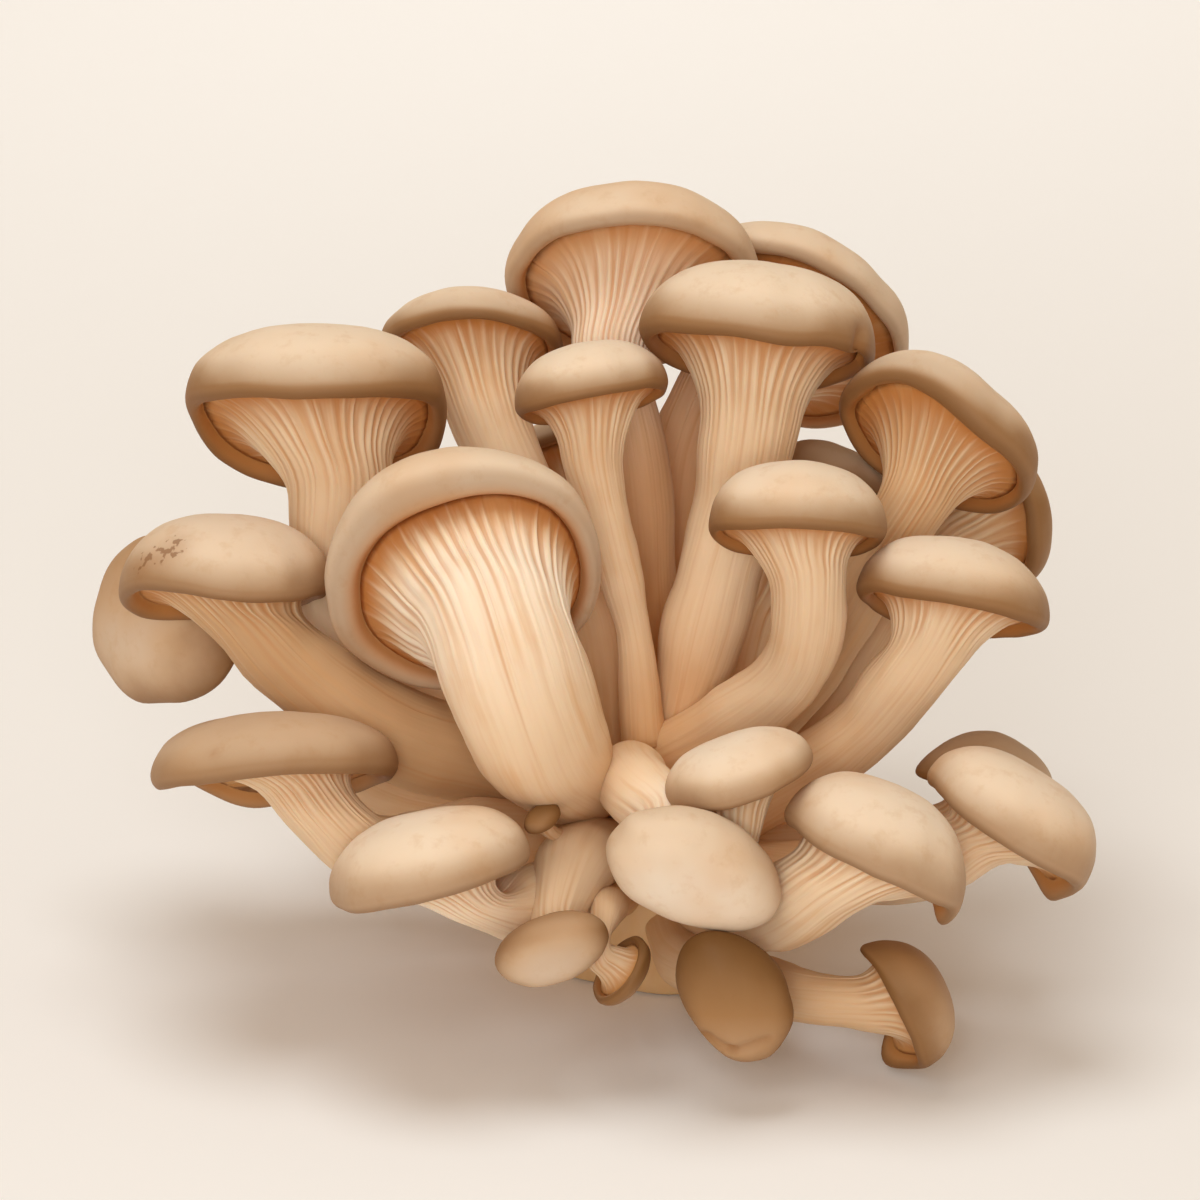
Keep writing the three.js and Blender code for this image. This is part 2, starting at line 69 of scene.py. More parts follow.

# %% [markdown]
# ## The mushrooms
# One entry of sizes for each mushroom: `at` is the middle of its rim, `lean` and `roll` tilt it to the
# back and to the right, and `dome` and `lip` give the cap's height and the width of its rolled margin,
# both as shares of its radius. `stem` is the stem's middle line with the radius at each point, `gills`
# counts the folds, and `flare` says how late they spread out.
#
# An `oval` cap is narrower one way, which `turn` turns, and a `saddle` below zero lowers the front and
# back of its margin and lifts the sides. `lobes`, `bulges` and `curl` are places round the margin, each
# an angle, an amount and a spread, where it rises or droops, juts out or in, and rolls wider. `creases`
# are grooves in the skin, each from one point to another with a width and a depth.
#
# The other words are colour. `brown`, `pale` and `warm` shift a mushroom's colour, partly its own tone
# and partly painted light and shade: paler where it is lit, browner and warmer where it lies in shade
# behind and under others. `tan` is how much painted shade, with some of the cap's own darker margin,
# darkens its cap where the skin turns down to the rim, `hollow` is how much painted orange shade its
# gills take at their outer ends, and `stains` are brown marks on a cap, each a place and a size.
# A `whole` mushroom is one piece.
#
# A table keeps thirty mushrooms readable, where thirty pieces of code would hide what differs.

# %% The table of mushrooms
MUSHROOMS = [
    # the tall one in front and the small ones at its foot
    dict(name="front_left_tall", at=(-33.3, 80.5, 24), radius=24.7, lean=56, roll=-8, dome=0.5, lip=0.14,
         bulges=[(-125, 0.06, 25)], curl=[(-15, 0.24, 42), (-90, 0.05, 35)],
         stem=[(-12, 42, 10, 8), (-18, 47.5, 30, 11.2), (-21, 53.5, 38, 12.4), (-27, 69.5, 40, 13)],
         gills=44, flare=1.35, pale=0.7, tan=0.18),
    dict(name="front_centre", at=(7, 28.6, 55), radius=16.2, lean=-62, roll=180, dome=0.5, lip=0.2,
         oval=0.66, turn=-22, bulges=[(-143, 0.13, 24), (-65, -0.08, 26), (60, -0.06, 26)],
         stem=[(-3, 44, 8, 6), (-2.5, 41, 32, 6.5), (4, 35, 44, 6.5)],
         gills=24, brown=0.04, pale=0.6, tan=0.4),
    dict(name="front_bud", at=(15.6, 43.6, 46), radius=13.2, lean=-8, roll=-18, dome=0.6, lip=0.2,
         saddle=-0.05,
         stem=[(5, 30, 4, 4.5), (12, 24.5, 33, 4.5), (15.2, 34.5, 44.5, 5)],
         gills=26, tan=0.7),
    dict(name="front_right", at=(39.5, 31, 46), radius=17.6, lean=-2, roll=24, dome=0.68, lip=0.2,
         saddle=-0.05, lobes=[(80, -0.12, 35), (105, -0.27, 16)],
         stem=[(8, 20, 0, 6.5), (20, 19.6, 31, 7.4), (30.5, 25.2, 44.8, 8.6)],
         gills=34, tan=0.65),
    dict(name="front_left_low", at=(-39, 26.9, 42), radius=18, lean=-3, roll=-12, dome=0.61, lip=0.2,
         saddle=-0.06, lobes=[(-70, -0.08, 35)],
         stem=[(-8, 24, 4, 8), (-20, 21.6, 27.5, 6.8), (-30.8, 21, 41, 5.4)],
         gills=34, pale=0.3, tan=0.6),
    dict(name="low_centre", at=(14.6, 4.8, 48), radius=13, lean=-60, roll=180, dome=0.5, lip=0.25,
         oval=0.74, turn=-66, bulges=[(30, 0.16, 30), (125, -0.15, 25)],
         creases=[(9.5, -1.6, 14, -4.4, 0.9, 0.9), (14, -4.4, 20.5, -2.4, 0.8, 0.8)],
         stem=[(4, 12, 4, 5), (9, 9, 28, 5), (15, 8.5, 41, 5)],
         gills=24, brown=1.0),
    dict(name="low_left", at=(-17.5, 13.8, 46), radius=10.6, lean=-55, roll=180, dome=0.5, lip=0.25,
         oval=0.62, turn=26,
         stem=[(-8, 30, 6, 7.5), (-14, 26.5, 28, 7), (-17, 17.2, 40, 4.2)],
         gills=20, brown=0.4),
    dict(name="low_bud", at=(-5.2, 9.2, 36), radius=6.8, lean=25, roll=125, dome=0.45, lip=0.25,
         stem=[(-5, 22, 8, 3), (-6, 21, 30, 2.8), (-9.5, 16.6, 38.8, 2.6), (-9.1, 12.3, 38.4, 2.7)],
         gills=18, brown=0.8),
    dict(name="low_right", at=(45.2, 4.1, 34), radius=12.6, lean=-2, roll=66, dome=0.6, lip=0.2,
         lobes=[(135, -0.6, 24), (-90, -0.2, 30)], bulges=[(-90, -0.06, 30)],
         stem=[(12, 8, 2, 5.5), (27, 4.6, 30, 5.2), (37.5, 3.4, 35.5, 5.4)],
         gills=28, brown=0.54, warm=0.5),
    dict(name="tiny_bud", at=(-19.2, 36.3, 37), radius=3.6, lean=-60, roll=-35, dome=0.6, lip=0.25,
         oval=0.7, whole=True,
         stem=[(-10, 32, 8, 2), (-15, 32, 24, 2), (-18.5, 34.5, 33.5, 1.8)],
         gills=10, brown=1.0),
    # the big ones behind and beside them
    dict(name="middle_right", at=(26, 87.3, 26), radius=16, lean=10, roll=2, dome=0.75, lip=0.16,
         saddle=-0.04,
         stem=[(3, 46, 0, 6), (12, 51, 6, 6.5), (22, 58.5, 14, 7), (28, 67, 21, 6), (28, 78, 26, 6.8)],
         gills=34),
    dict(name="right", at=(54, 74.6, 22), radius=17.4, lean=10, roll=8, dome=0.64, lip=0.18,
         saddle=-0.06, lobes=[(75, -0.12, 35)],
         stem=[(12, 34, -2, 6), (37, 50.5, 13, 6.2), (44, 58.5, 18.5, 6.7), (49.7, 66, 22.5, 7.4)],
         gills=36),
    dict(name="left", at=(-76.5, 78.3, 12), radius=18.8, lean=6, roll=3, dome=0.64, lip=0.18,
         saddle=-0.06, lobes=[(-120, -0.26, 40), (25, -0.12, 30)],
         stem=[(-15, 42, -4, 8), (-46, 51, 8, 9), (-61, 61, 11, 8), (-70.3, 69.8, 12, 9.4)],
         gills=38, brown=0.08, warm=1.0, tan=0.8,
         stains=[(-91, 81, 2.4), (-87.5, 83, 2.6), (-84, 84.5, 2.4)]),
    dict(name="left_low", at=(-67, 45.2, 24), radius=22, lean=7, roll=0, dome=0.43, lip=0.16,
         saddle=-0.05, lobes=[(-75, -0.15, 30), (-165, -0.1, 16), (-115, 0.12, 20)],
         stem=[(-12, 32, 3, 6), (-35, 32.5, 13, 6.5), (-46.5, 29.5, 22, 7.2), (-57.2, 36, 27.5, 7.8)],
         gills=42, flare=3, brown=0.31, tan=0.6, stains=[(-77, 48, 0.9)]),
    dict(name="far_right", at=(64, 35, 32), radius=17.6, lean=-2, roll=33, dome=0.62, lip=0.2,
         saddle=-0.04, lobes=[(70, -0.02, 30), (125, -0.34, 22)], bulges=[(90, -0.06, 30)],
         stem=[(14, 27, -8, 5.5), (47, 26.5, 27, 5.8), (56.5, 32, 31.5, 6.6)],
         gills=32, tan=0.65),
    dict(name="tall_right", at=(19.5, 121.6, -4), radius=21.8, lean=11, roll=7, dome=0.65, lip=0.16,
         saddle=-0.06, creases=[(38.5, 124, 37.4, 117, 1.1, 1.3)],
         stem=[(4, 46, -6, 4), (8, 62, -4, 7.2), (12, 78, -3, 7.6), (16, 93, -2, 8), (18, 106, 0, 8.8)],
         gills=40),
    dict(name="upper_small", at=(-10.5, 111.5, 4), radius=14, lean=8, roll=-10, dome=0.7, lip=0.16,
         saddle=-0.05,
         stem=[(-1, 48, 3, 4.5), (-1.5, 60, 3, 3), (-4.5, 77, 4, 3.8), (-8, 90, 4, 4.6),
               (-10, 100, 5, 5.6)],
         gills=32),
    dict(name="upper_right", at=(52.5, 104, 0), radius=19.4, lean=27, roll=28, dome=0.53, lip=0.16,
         lobes=[(-35, 0.14, 30), (25, -0.09, 30)], curl=[(10, 0.14, 30)],
         stem=[(12, 44, -12, 6), (30, 64, -5, 6), (39, 79, -2, 6), (47.5, 92, 4, 6.4)],
         gills=38, warm=0.9),
    dict(name="upper_left", at=(-60.5, 109.7, -4), radius=24, lean=17, roll=0, dome=0.59, lip=0.14,
         saddle=-0.12, lobes=[(-135, -0.14, 35), (125, -0.2, 30)],
         stem=[(-10, 44, -20, 8), (-49.5, 64, -11, 8.6), (-56.3, 80, -5, 8.9), (-56, 95, -1, 9.6)],
         gills=46, stains=[(-84.5, 110.5, 3)]),
    dict(name="crown", at=(-2.9, 134, -30), radius=23.7, lean=36, roll=1, dome=0.56, lip=0.15,
         curl=[(0, 0.05, 50)],
         stem=[(-1, 40, -26, 6), (-1, 75, -24, 6.6), (-3, 100, -20, 6.6), (-7, 118, -19, 7)],
         gills=42, pale=0.6, tan=0.25, hollow=0.75),
    dict(name="behind_left", at=(-33, 121.5, -26), radius=17, lean=25, roll=0, dome=0.5, lip=0.16,
         stem=[(-6, 44, -14, 6), (-10, 73, -11, 6.4), (-24, 95, -18, 7), (-29.5, 109, -21, 7.6)],
         gills=34),
    dict(name="behind_crown", at=(26, 126, -49), radius=23.8, lean=40, roll=25, dome=0.5, lip=0.08,
         curl=[(-20, 0.1, 45)],
         stem=[(6, 36, -30, 6), (5, 72, -38, 6.4), (5.5, 96, -40, 7.4), (11, 111.5, -42.5, 7.4)],
         gills=40, pale=0.2, tan=0.25),
    dict(name="behind_right", at=(63, 90.5, -27), radius=15, lean=35, roll=72, dome=0.5, lip=0.2,
         stem=[(18, 31, -25, 6), (34, 53, -23, 6), (42, 68, -19, 6), (52, 84, -20, 6)],
         gills=30, brown=0.35),
    dict(name="outer_left", at=(-88.7, 73, -20), radius=17.3, lean=-42, roll=-75, dome=0.5, lip=0.2,
         bulges=[(90, -0.2, 35), (-12, 0.3, 26)],
         stem=[(-14, 36, -24, 6), (-50, 42.5, -30, 8), (-62.5, 60.5, -32, 5.4), (-79.5, 70.5, -28, 6)],
         gills=30, brown=0.36),
    dict(name="outer_right", at=(61.6, 42.2, 7), radius=12.5, lean=-10, roll=30, dome=0.68, lip=0.2,
         lobes=[(-90, -0.36, 35)], bulges=[(-90, 0.04, 35)],
         stem=[(14, 28, -16, 4.5), (40, 31, -6, 4.5), (57, 36, 3, 4.6)],
         gills=22, brown=0.3),
    dict(name="behind_middle", at=(33.5, 95.2, -22), radius=12.4, lean=12, roll=24, dome=0.62, lip=0.2,
         stem=[(14, 36, -22, 4.5), (26, 64, -19, 4.6), (31.5, 86, -20, 5)],
         gills=24, brown=0.25),
    # the ones at the back
    dict(name="back_upper", at=(-13, 93, -60), radius=20, lean=50, roll=-10, dome=0.5, lip=0.18,
         stem=[(-3, 30, -34, 6), (-6, 56, -43, 6.4), (-11, 81.4, -46, 7)],
         gills=34),
    dict(name="back_right", at=(22, 74, -67), radius=17.5, lean=58, roll=20, dome=0.52, lip=0.18,
         stem=[(7, 25, -38, 6), (13, 45, -50, 6), (18, 67.2, -54.7, 6.4)],
         gills=30),
    dict(name="back_left", at=(-43, 70, -55), radius=16, lean=48, roll=-38, dome=0.55, lip=0.18,
         stem=[(-10, 26, -34, 6), (-22, 44, -44, 6), (-36, 63.3, -45, 6.2)],
         gills=30),
    dict(name="back_low", at=(-4, 46, -66), radius=14.5, lean=72, roll=-6, dome=0.52, lip=0.2,
         stem=[(-1, 20, -38, 5.5), (-2, 30, -50, 5.5), (-3.5, 43, -57, 5.8)],
         gills=26),
]
print("mushrooms:", len(MUSHROOMS))

# %% [markdown]
# ## Smooth lines
# Stems bend and caps round off, so both need a smooth line through a few points. Blender's curve
# objects could do it, but here the line is asked for one point at a time, so a small function is
# simpler. It is the centripetal Catmull-Rom line, which passes through its points and doesn't loop
# between close ones.


# %% A smooth line through points
def through(points, place):
    """The point at a place along a smooth line, where place 0 is the first point and 1 the second."""
    i = min(int(place), len(points) - 2)
    here, there = points[i], points[i + 1]
    before = points[i - 1] if i else here * 2 - there
    after = points[i + 2] if i + 2 < len(points) else there * 2 - here
    a = max((here - before).length, 1e-6) ** 0.5
    b = max((there - here).length, 1e-6) ** 0.5
    c = max((after - there).length, 1e-6) ** 0.5
    leaving = (there - here) + b * ((here - before) / a - (there - before) / (a + b))
    arriving = (there - here) + b * ((after - there) / c - (after - here) / (b + c))
    u = place - i
    v = 1 - u
    return (
        here * (v * v * (1 + 2 * u)) + leaving * (u * v * v)
        + there * (u * u * (1 + 2 * v)) - arriving * (u * u * v)
    )


def smooth(edge, full, value):
    """0 up to edge, 1 past full, and an easy rise between."""
    u = min(max((value - edge) / (full - edge), 0), 1)
    return u * u * (3 - 2 * u)


print("halfway:", through([X * 0, X, X * 2 + Y], 1.5))

# %% [markdown]
# ## A mushroom's two surfaces
# A cap is described by how far out a point is, at what angle from the front and how high over the rim.
# A stem is a stack of rings: the lower ones stand across the stem's line, and the upper ones spread out
# under the cap to its margin. Both are formulas, so a plain round mesh can be moved onto them. A real
# margin is never a plain ring, so humps at given places and a little noise bend it.


# %% Places round a margin
def humps(places, angle):
    """The sum of humps, each an (angle from the front, amount, spread), at one angle round the cap."""
    return sum(
        amount * math.exp((math.cos(angle - math.radians(middle)) - 1) / math.radians(spread) ** 2)
        for middle, amount, spread in places
    )


def round_noise(angle, cells, seed):
    """Noise that closes on itself round a circle with that many cells to a radian."""
    return noise.noise(Vector((math.sin(angle) * cells, math.cos(angle) * cells, seed)))


print("a hump of 1 at 30 degrees, 30 degrees on:", round(humps([(30, 1, 30)], math.radians(60)), 2))

# %% [markdown]
# ## A mushroom's formulas
# One class keeps what a mushroom is and where its points lie. The cap's formula places the margin for
# the gills as well. Sizes could be passed from function to function instead, but each would need a dozen.

# %% The mushroom's formulas
SEAT = -0.04  # the height at which the gills' ends meet the cap, as a share of its radius
WAVER, JUT = 0.035, 0.03  # how far a margin wavers up and down, and in and out


class Mushroom:
    """A mushroom's sizes, and the formulas of its cap and its stem, in the growth frame."""

    def __init__(self, name, at, radius, lean, roll, dome, lip, stem, gills, oval=1, turn=0, saddle=0,
                 whole=False, lobes=(), bulges=(), curl=(), creases=(), flare=1.8,
                 brown=0.0, pale=0.0, warm=0.0, tan=1.0, hollow=1.0, stains=()):
        self.name, self.radius, self.dome, self.lip, self.gills = name, radius, dome, lip, gills
        self.oval, self.saddle, self.whole, self.flare = oval, saddle, whole, flare
        self.lobes, self.bulges, self.curl, self.creases = lobes, bulges, curl, creases
        self.brown, self.pale, self.warm, self.tan = brown, pale, warm, tan
        self.hollow, self.stains = hollow, stains
        self.middle = Vector(at)
        self.turn = Quaternion(Z, -math.radians(roll)) @ Quaternion(X, -math.radians(lean))
        self.long_way = math.radians(turn)
        self.seed = random.Random(name).random() * 100
        self.set_rings(stem)

    def by_size(self, big, middling, small):
        """One of three values, for a big, a middling or a small mushroom."""
        return big if self.radius > 20 else middling if self.radius > 13 else small

    def lip_at(self, angle):
        return self.lip + humps(self.curl, angle)

    def on_cap(self, out, angle, height):
        """A point of the cap, with out and height as shares of the cap's radius."""
        bend = self.saddle * math.cos(2 * angle) + humps(self.lobes, angle)
        bend += WAVER * round_noise(angle, 1.8, self.seed)
        bulge = humps(self.bulges, angle) + JUT * round_noise(angle, 2.4, self.seed + 9)
        reach = out * (1 + out * out * bulge)
        along = angle - self.long_way
        across = Quaternion(Y, self.long_way) @ Vector((math.sin(along), 0, math.cos(along) * self.oval))
        across *= reach * self.radius
        across.y = self.radius * (height + out * out * bend)
        return self.turn @ across + self.middle

    def dent_at(self, point):
        """How deep the creases are at a point, in mm. They lie on the front half of the cap."""
        deep = 0.0
        for x0, y0, x1, y1, width, depth in self.creases:
            along, aside = Vector((x1 - x0, y1 - y0)), Vector((point.x - x0, point.y - y0))
            share = min(max(aside.dot(along) / along.length_squared, 0), 1)
            deep += depth * math.exp(-((aside - along * share).length_squared) / width**2)
        return deep if point.z > self.middle.z else 0.0

    def stain_at(self, point):
        """How stained the skin is at a point. The stains lie on the front half too."""
        marks = [math.exp(-((point.x - x) ** 2 + (point.y - y) ** 2) / size**2)
                 for x, y, size in self.stains]
        return sum(marks) if point.z > self.middle.z else 0.0

    def set_rings(self, stem):
        """The stem's rings from the root to the neck, then the gills' rings out to the margin."""
        axis = self.turn @ Y
        points = [Vector(p[:3]) for p in stem]
        line = points + [points[-1] + axis * 0.6 * self.radius]
        neck = self.turn.inverted() @ (points[-1] - self.middle)
        self.neck_out, self.neck_height = stem[-1][3] / self.radius, neck.y / self.radius
        self.neck_aside = self.turn @ Vector((neck.x, 0, neck.z))
        count = self.by_size(5, 4, 3)
        self.stem_rings = []
        for step in range(count):
            share = step / (count - 1)
            along = share * (len(stem) - 1)
            i = min(int(along), len(stem) - 2)
            thick = stem[i][3] + (stem[i + 1][3] - stem[i][3]) * (along - i)
            heading = (through(line, along + 0.01) - through(line, max(along - 0.01, 0))).normalized()
            turn = (axis.rotation_difference(heading) @ self.turn).slerp(self.turn, 0.7 * share**4)
            self.stem_rings.append((through(line, along), turn, thick))
        self.gill_rings = (0.38, 0.72, 1)  # how far from the neck to the margin

    def on_ring(self, ring, angle):
        """The plain point of a ring: fine gills and fibres are raised from it later."""
        if ring < len(self.stem_rings):
            centre, turn, thick = self.stem_rings[ring]
            return centre + turn @ Vector((math.sin(angle), 0, math.cos(angle))) * thick
        t = self.gill_rings[ring - len(self.stem_rings)]
        edge = 1 - self.lip_at(angle) * 0.97  # the gills end just under the lip
        out = self.neck_out + (edge - self.neck_out) * t**self.flare
        height = SEAT - 0.05 * (1 - t) + self.neck_height * (1 - t) ** (0.9 * self.flare)
        return self.on_cap(out, angle, height) + self.neck_aside * (1 - t) ** 1.3


mushrooms = [Mushroom(**sizes) for sizes in MUSHROOMS]
print("largest cap, mm:", 2 * max(m.radius for m in mushrooms))

# %% [markdown]
# ## Turning a round mesh
# A pot on a wheel starts as a profile that is spun round. `spin` does the same: it turns a row of
# points into a closed skin of rings. The ends lie on the axis, so merging them closes the poles.


# %% Spin a profile
def spun(profile, steps):
    """A bmesh made by spinning (out, up) points once round the Z axis."""
    bm = bmesh.new()
    points = [bm.verts.new((0, -out, up)) for out, up in profile]
    edges = [bm.edges.new(pair) for pair in zip(points, points[1:])]
    bmesh.ops.spin(bm, geom=points + edges, cent=(0, 0, 0), axis=(0, 0, 1), angle=2 * math.pi,
                   steps=steps, use_merge=True)
    bmesh.ops.remove_doubles(bm, verts=bm.verts, dist=1e-5)
    bmesh.ops.recalc_face_normals(bm, faces=bm.faces)
    bm.normal_update()
    return bm


def angle_of(point):
    """The angle round the axis, 0 at the front and 90 degrees at the right."""
    return math.atan2(point.x, -point.y)


test = spun([(0, 0), (1, 0), (1, 1), (0, 1)], 8)
print("a test spin has", len(test.faces), "faces")
test.free()

# %% [markdown]
# ## From a mesh to a piece
# A mushroom's colour changes with its form: from crown to rim, and from crest to hollow. So every vertex
# holds numbers, its marks, which the finishes read. Unwrapping each skin for an image would do it too,
# but would stretch at the poles. A piece then stands for its solid, in the same place.


# %% Pieces and their marks
def piece_of(bm, name, marks):
    """The object of a bmesh. marks are the numbers that its finish reads at every vertex."""
    bmesh.ops.recalc_face_normals(bm, faces=bm.faces)
    mesh = bpy.data.meshes.new(name)
    bm.to_mesh(mesh)
    bm.free()
    mesh.shade_smooth()
    for mark, values in marks.items():
        kind = "FLOAT_VECTOR" if isinstance(values[0], Vector) else "FLOAT"
        layer = mesh.attributes.new(mark, kind, "POINT")
        if kind == "FLOAT":
            layer.data.foreach_set("value", values)
        else:
            layer.data.foreach_set("vector", [n for value in values for n in value])
    piece = bpy.data.objects.new(name, mesh)
    bpy.context.collection.objects.link(piece)
    return piece


def stands_for(piece, node):
    """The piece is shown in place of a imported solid, and moves with it."""
    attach(piece, "root")
    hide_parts(node)


print("solids to stand for:", len(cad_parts))

# %% [markdown]
# ## Caps
# A cap is a shallow dome whose margin rolls under, thick and soft, and comes back up to the gills. It
# could be sculpted from a sphere, but a spun profile keeps its faces in even rings, which take the roll
# of the margin well. The spun cap is then squashed, drooped and tilted to its place by the formula, and
# low, uneven swellings are added along its normals, since no real cap is perfectly round.


# %% Model the caps
ROWS = (4, 4, 5, 4, 6, 6, 5, 4)  # rows of points between the corners of a cap's profile
SWELL = 0.016  # the height of the skin's swellings, as a share of the cap's radius


def cap_profile(m, lip):
    """The cap's profile from the seat of the gills, round the rolled margin and up to the crown."""
    dome, drop = m.dome, 0.07 + 0.36 * lip
    shape = [
        (1 - lip * 1.02, SEAT), (1 - lip * 0.7, -drop * 0.93), (1 - lip * 0.38, -drop * 1.04),
        (1 - lip * 0.08, -drop * 0.62), (1, 0), (0.93, dome * 0.38), (0.7, dome * 0.76),
        (0.36, dome * 0.96), (0, dome), (-0.36, dome * 0.96),
    ]
    points = [Vector((out, up, 0)) for out, up in shape]
    rows = [through(points, i + step / n) for i, n in enumerate(ROWS) for step in range(n)]
    return [Vector((0, SEAT + 0.02, 0))] + rows + [Vector((0, dome, 0))]


def margin_marks(profile):
    """How far along the skin each point lies: 0 at the crown, 1 at the rim and 2 at the gills."""
    rim = sum(ROWS[:4]) + 1  # the row at the corner (1, 0)
    steps = [(b - a).length for a, b in zip(profile, profile[1:])]
    over, under = sum(steps[rim:]), sum(steps[1:rim])
    return [1 + min(sum(steps[row:rim]) / under, 1) if row <= rim else sum(steps[row:]) / over
            for row in range(len(profile))]


def make_cap(m):
    corners = m.by_size(112, 88, 64)
    count = sum(ROWS)
    bm = spun([(0, 0)] + [(1, row) for row in range(1, count + 1)] + [(0, count + 1)], corners)
    profiles = [cap_profile(m, m.lip_at(2 * math.pi * corner / corners)) for corner in range(corners)]
    along = margin_marks(profiles[0])
    margin, stain, dents, brown = [], [], [], []
    for vert in bm.verts:
        row, angle = round(vert.co.z), angle_of(vert.co)
        out, up, _ = profiles[round(angle / (2 * math.pi) * corners) % corners][row]
        margin.append(along[row])
        vert.co = m.on_cap(out, angle, up)
        stain.append(m.stain_at(vert.co))
        dents.append(m.dent_at(vert.co))
        # a brown cap is browner on top than below: painted shadow from the caps above, over its own brown
        brown.append(m.brown * (0.45 + 0.75 * smooth(-0.8, 0.9, (vert.co.y - m.middle.y) / m.radius)))
        vert.co = upright(vert.co)
    bm.normal_update()
    # how far down the skin faces, and how near the rim it lies: the finish darkens both, as painted shade
    # with some of the margin's own grey-brown
    low = [m.tan * smooth(0.85, 0.35, vert.normal.z) for vert in bm.verts]
    rim = [m.tan * smooth(0.74, 1.02, place) for place in margin]
    for vert, dent in zip(bm.verts, dents):
        # swellings about half a radius across, with finer ones over them
        swell = noise.noise(vert.co * 1000 / (m.radius * 0.55) + Vector((m.seed, 0, 0)))
        swell += 0.35 * noise.noise(vert.co * 1000 / (m.radius * 0.22) + Vector((m.seed, 5, 0)))
        vert.co += vert.normal * (swell * m.radius * SWELL - dent) / 1000
    marks = {"margin": margin, "rim": rim, "low": low, "brown": brown, "stain": stain, "dent": dents}
    return piece_of(bm, m.name + "_cap_skin", marks)


caps = {m.name: make_cap(m) for m in mushrooms}
print("caps:", len(caps), "faces:", sum(len(cap.data.polygons) for cap in caps.values()))

# %% [markdown]
# ## Stems and gills
# The gills are thin folds of flesh that hang under the cap and run on down the stem, fading into its
# fibres. Hundreds of separate blades would be heavy and would leave cracks. Here one skin covers stem
# and gills, with six points to each gill across it: a crest, a shoulder, the bottom, a low crest
# between, the bottom and a shoulder. The points are placed along the gill lines, so the folds stay
# clean, and are then raised along the normals. The folds are low and soft, end at different lengths,
# and wander a little.


# %% How far gills, fibres and lumps stand out
FOLD = (1.0, 0.66, 0.14, 0.0, 0.14, 0.66)  # the heights of the six points across a gill
MIDDLE_HEIGHT = 0.4  # the height in a fold that stays on the plain skin
RUN = 0.35  # how far the gills run down the stem
GILL_RELIEF, FIBRE_RELIEF, LUMP_RELIEF = 0.02, 0.05, 0.9  # a share of the radius, mm and mm
WANDER = 2.6  # how many corners a gill line wanders to the side


def fold_at(m, corner, h):
    """How strong a gill is, and how high its corner stands. h is 0 at the neck and 1 at the margin."""
    gill = (corner + 3) // 6 % m.gills
    own = noise.noise(Vector((gill * 7.3, m.seed, 2)))
    strong = smooth(0.5 * own - RUN, 0.45, h) * (1 - 0.75 * smooth(0.5, 0.95, h))
    strong *= min(max(1 + 1.3 * noise.noise(Vector((gill * 3.1, m.seed, 9))), 0.4), 1.6)
    fold = 0.4 * smooth(0.4, 0.8, h) if corner % 6 == 3 else FOLD[corner % 6]
    return strong, fold - MIDDLE_HEIGHT


def fibre_at(m, wheel, place):
    """Fibres along the stem: noise that changes fast round the stem and slowly along it."""
    fibre = noise.noise(wheel * 1.3 + Z * (place * 0.3 + m.seed))
    return fibre + 0.6 * noise.noise(wheel * 2.9 + Z * (place * 0.5 + m.seed + 40))


def lump_at(m, point):
    """Lumps of the flesh, some 13 mm and 5 mm across."""
    lump = noise.noise(point / 13 + Vector((m.seed, 0, 0)))
    return lump + 0.3 * noise.noise(point / 5 + Vector((m.seed, 7, 0)))


print("first gill, strength and height:", fold_at(mushrooms[0], 0, 0.3))

# %% [markdown]
# ## Where a stem starts, and how deep it lies
# A real stem grows out of the foot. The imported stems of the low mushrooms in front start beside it,
# where their ends could be seen from the side, so their roots are led on towards the heart of the foot.
# Blending the two meshes would hide the joint as well, but would lose the even rows of points. Deep
# between the stems the light turns orange, because it has bounced from flesh to flesh, so each point
# also holds how deep inside the cluster it lies.


# %% Roots and depth
HEART = Vector((0, 27.3, -16.5))  # a point inside the foot, in the growth frame
LOW, FRONT, TAIL = 40, 30, 11  # mm: which mushrooms are low and in front, and how far their roots go on
CORE = Vector((3, 0, -30))  # the middle of the cluster, in the growth frame


def root_tail(m):
    """The way on from the root of a stem towards the heart of the foot."""
    low_in_front = m.middle.y < LOW and m.middle.z > FRONT
    return (HEART - m.stem_rings[0][0]).normalized() * (TAIL if low_in_front else 0)


def deep_at(point):
    """How deep inside the cluster a point lies, from 0 to 1. It counts for less up among the caps."""
    inside = smooth(32, 12, math.hypot(point.x - CORE.x, point.z - CORE.z))
    return inside * (0.6 + 0.4 * smooth(90, 50, point.y))


print("roots led on:", sum(root_tail(m).length > 0 for m in mushrooms))

# %% [markdown]
# ## One skin for stem and gills
# The rows of points follow the rings of the formula, closer where the skin is short. Each point slides
# a little along its ring, so that the gill lines wander. What stands out is added last, along the
# normals.


# %% Model the stems with their gills
def row_places(m, skin):
    """Where rows of points lie between the rings, some 2 mm apart, and 1.4 mm on a small mushroom."""
    step = m.by_size(2.0, 2.0, 1.4)
    places = []
    for ring, (here, there) in enumerate(zip(skin, skin[1:])):
        gap = max((there[k] - here[k]).length for k in (0, len(here) // 2))
        count = max(3, round(gap / step))
        places += [ring + i / count for i in range(count)]
    return places + [len(skin) - 1]


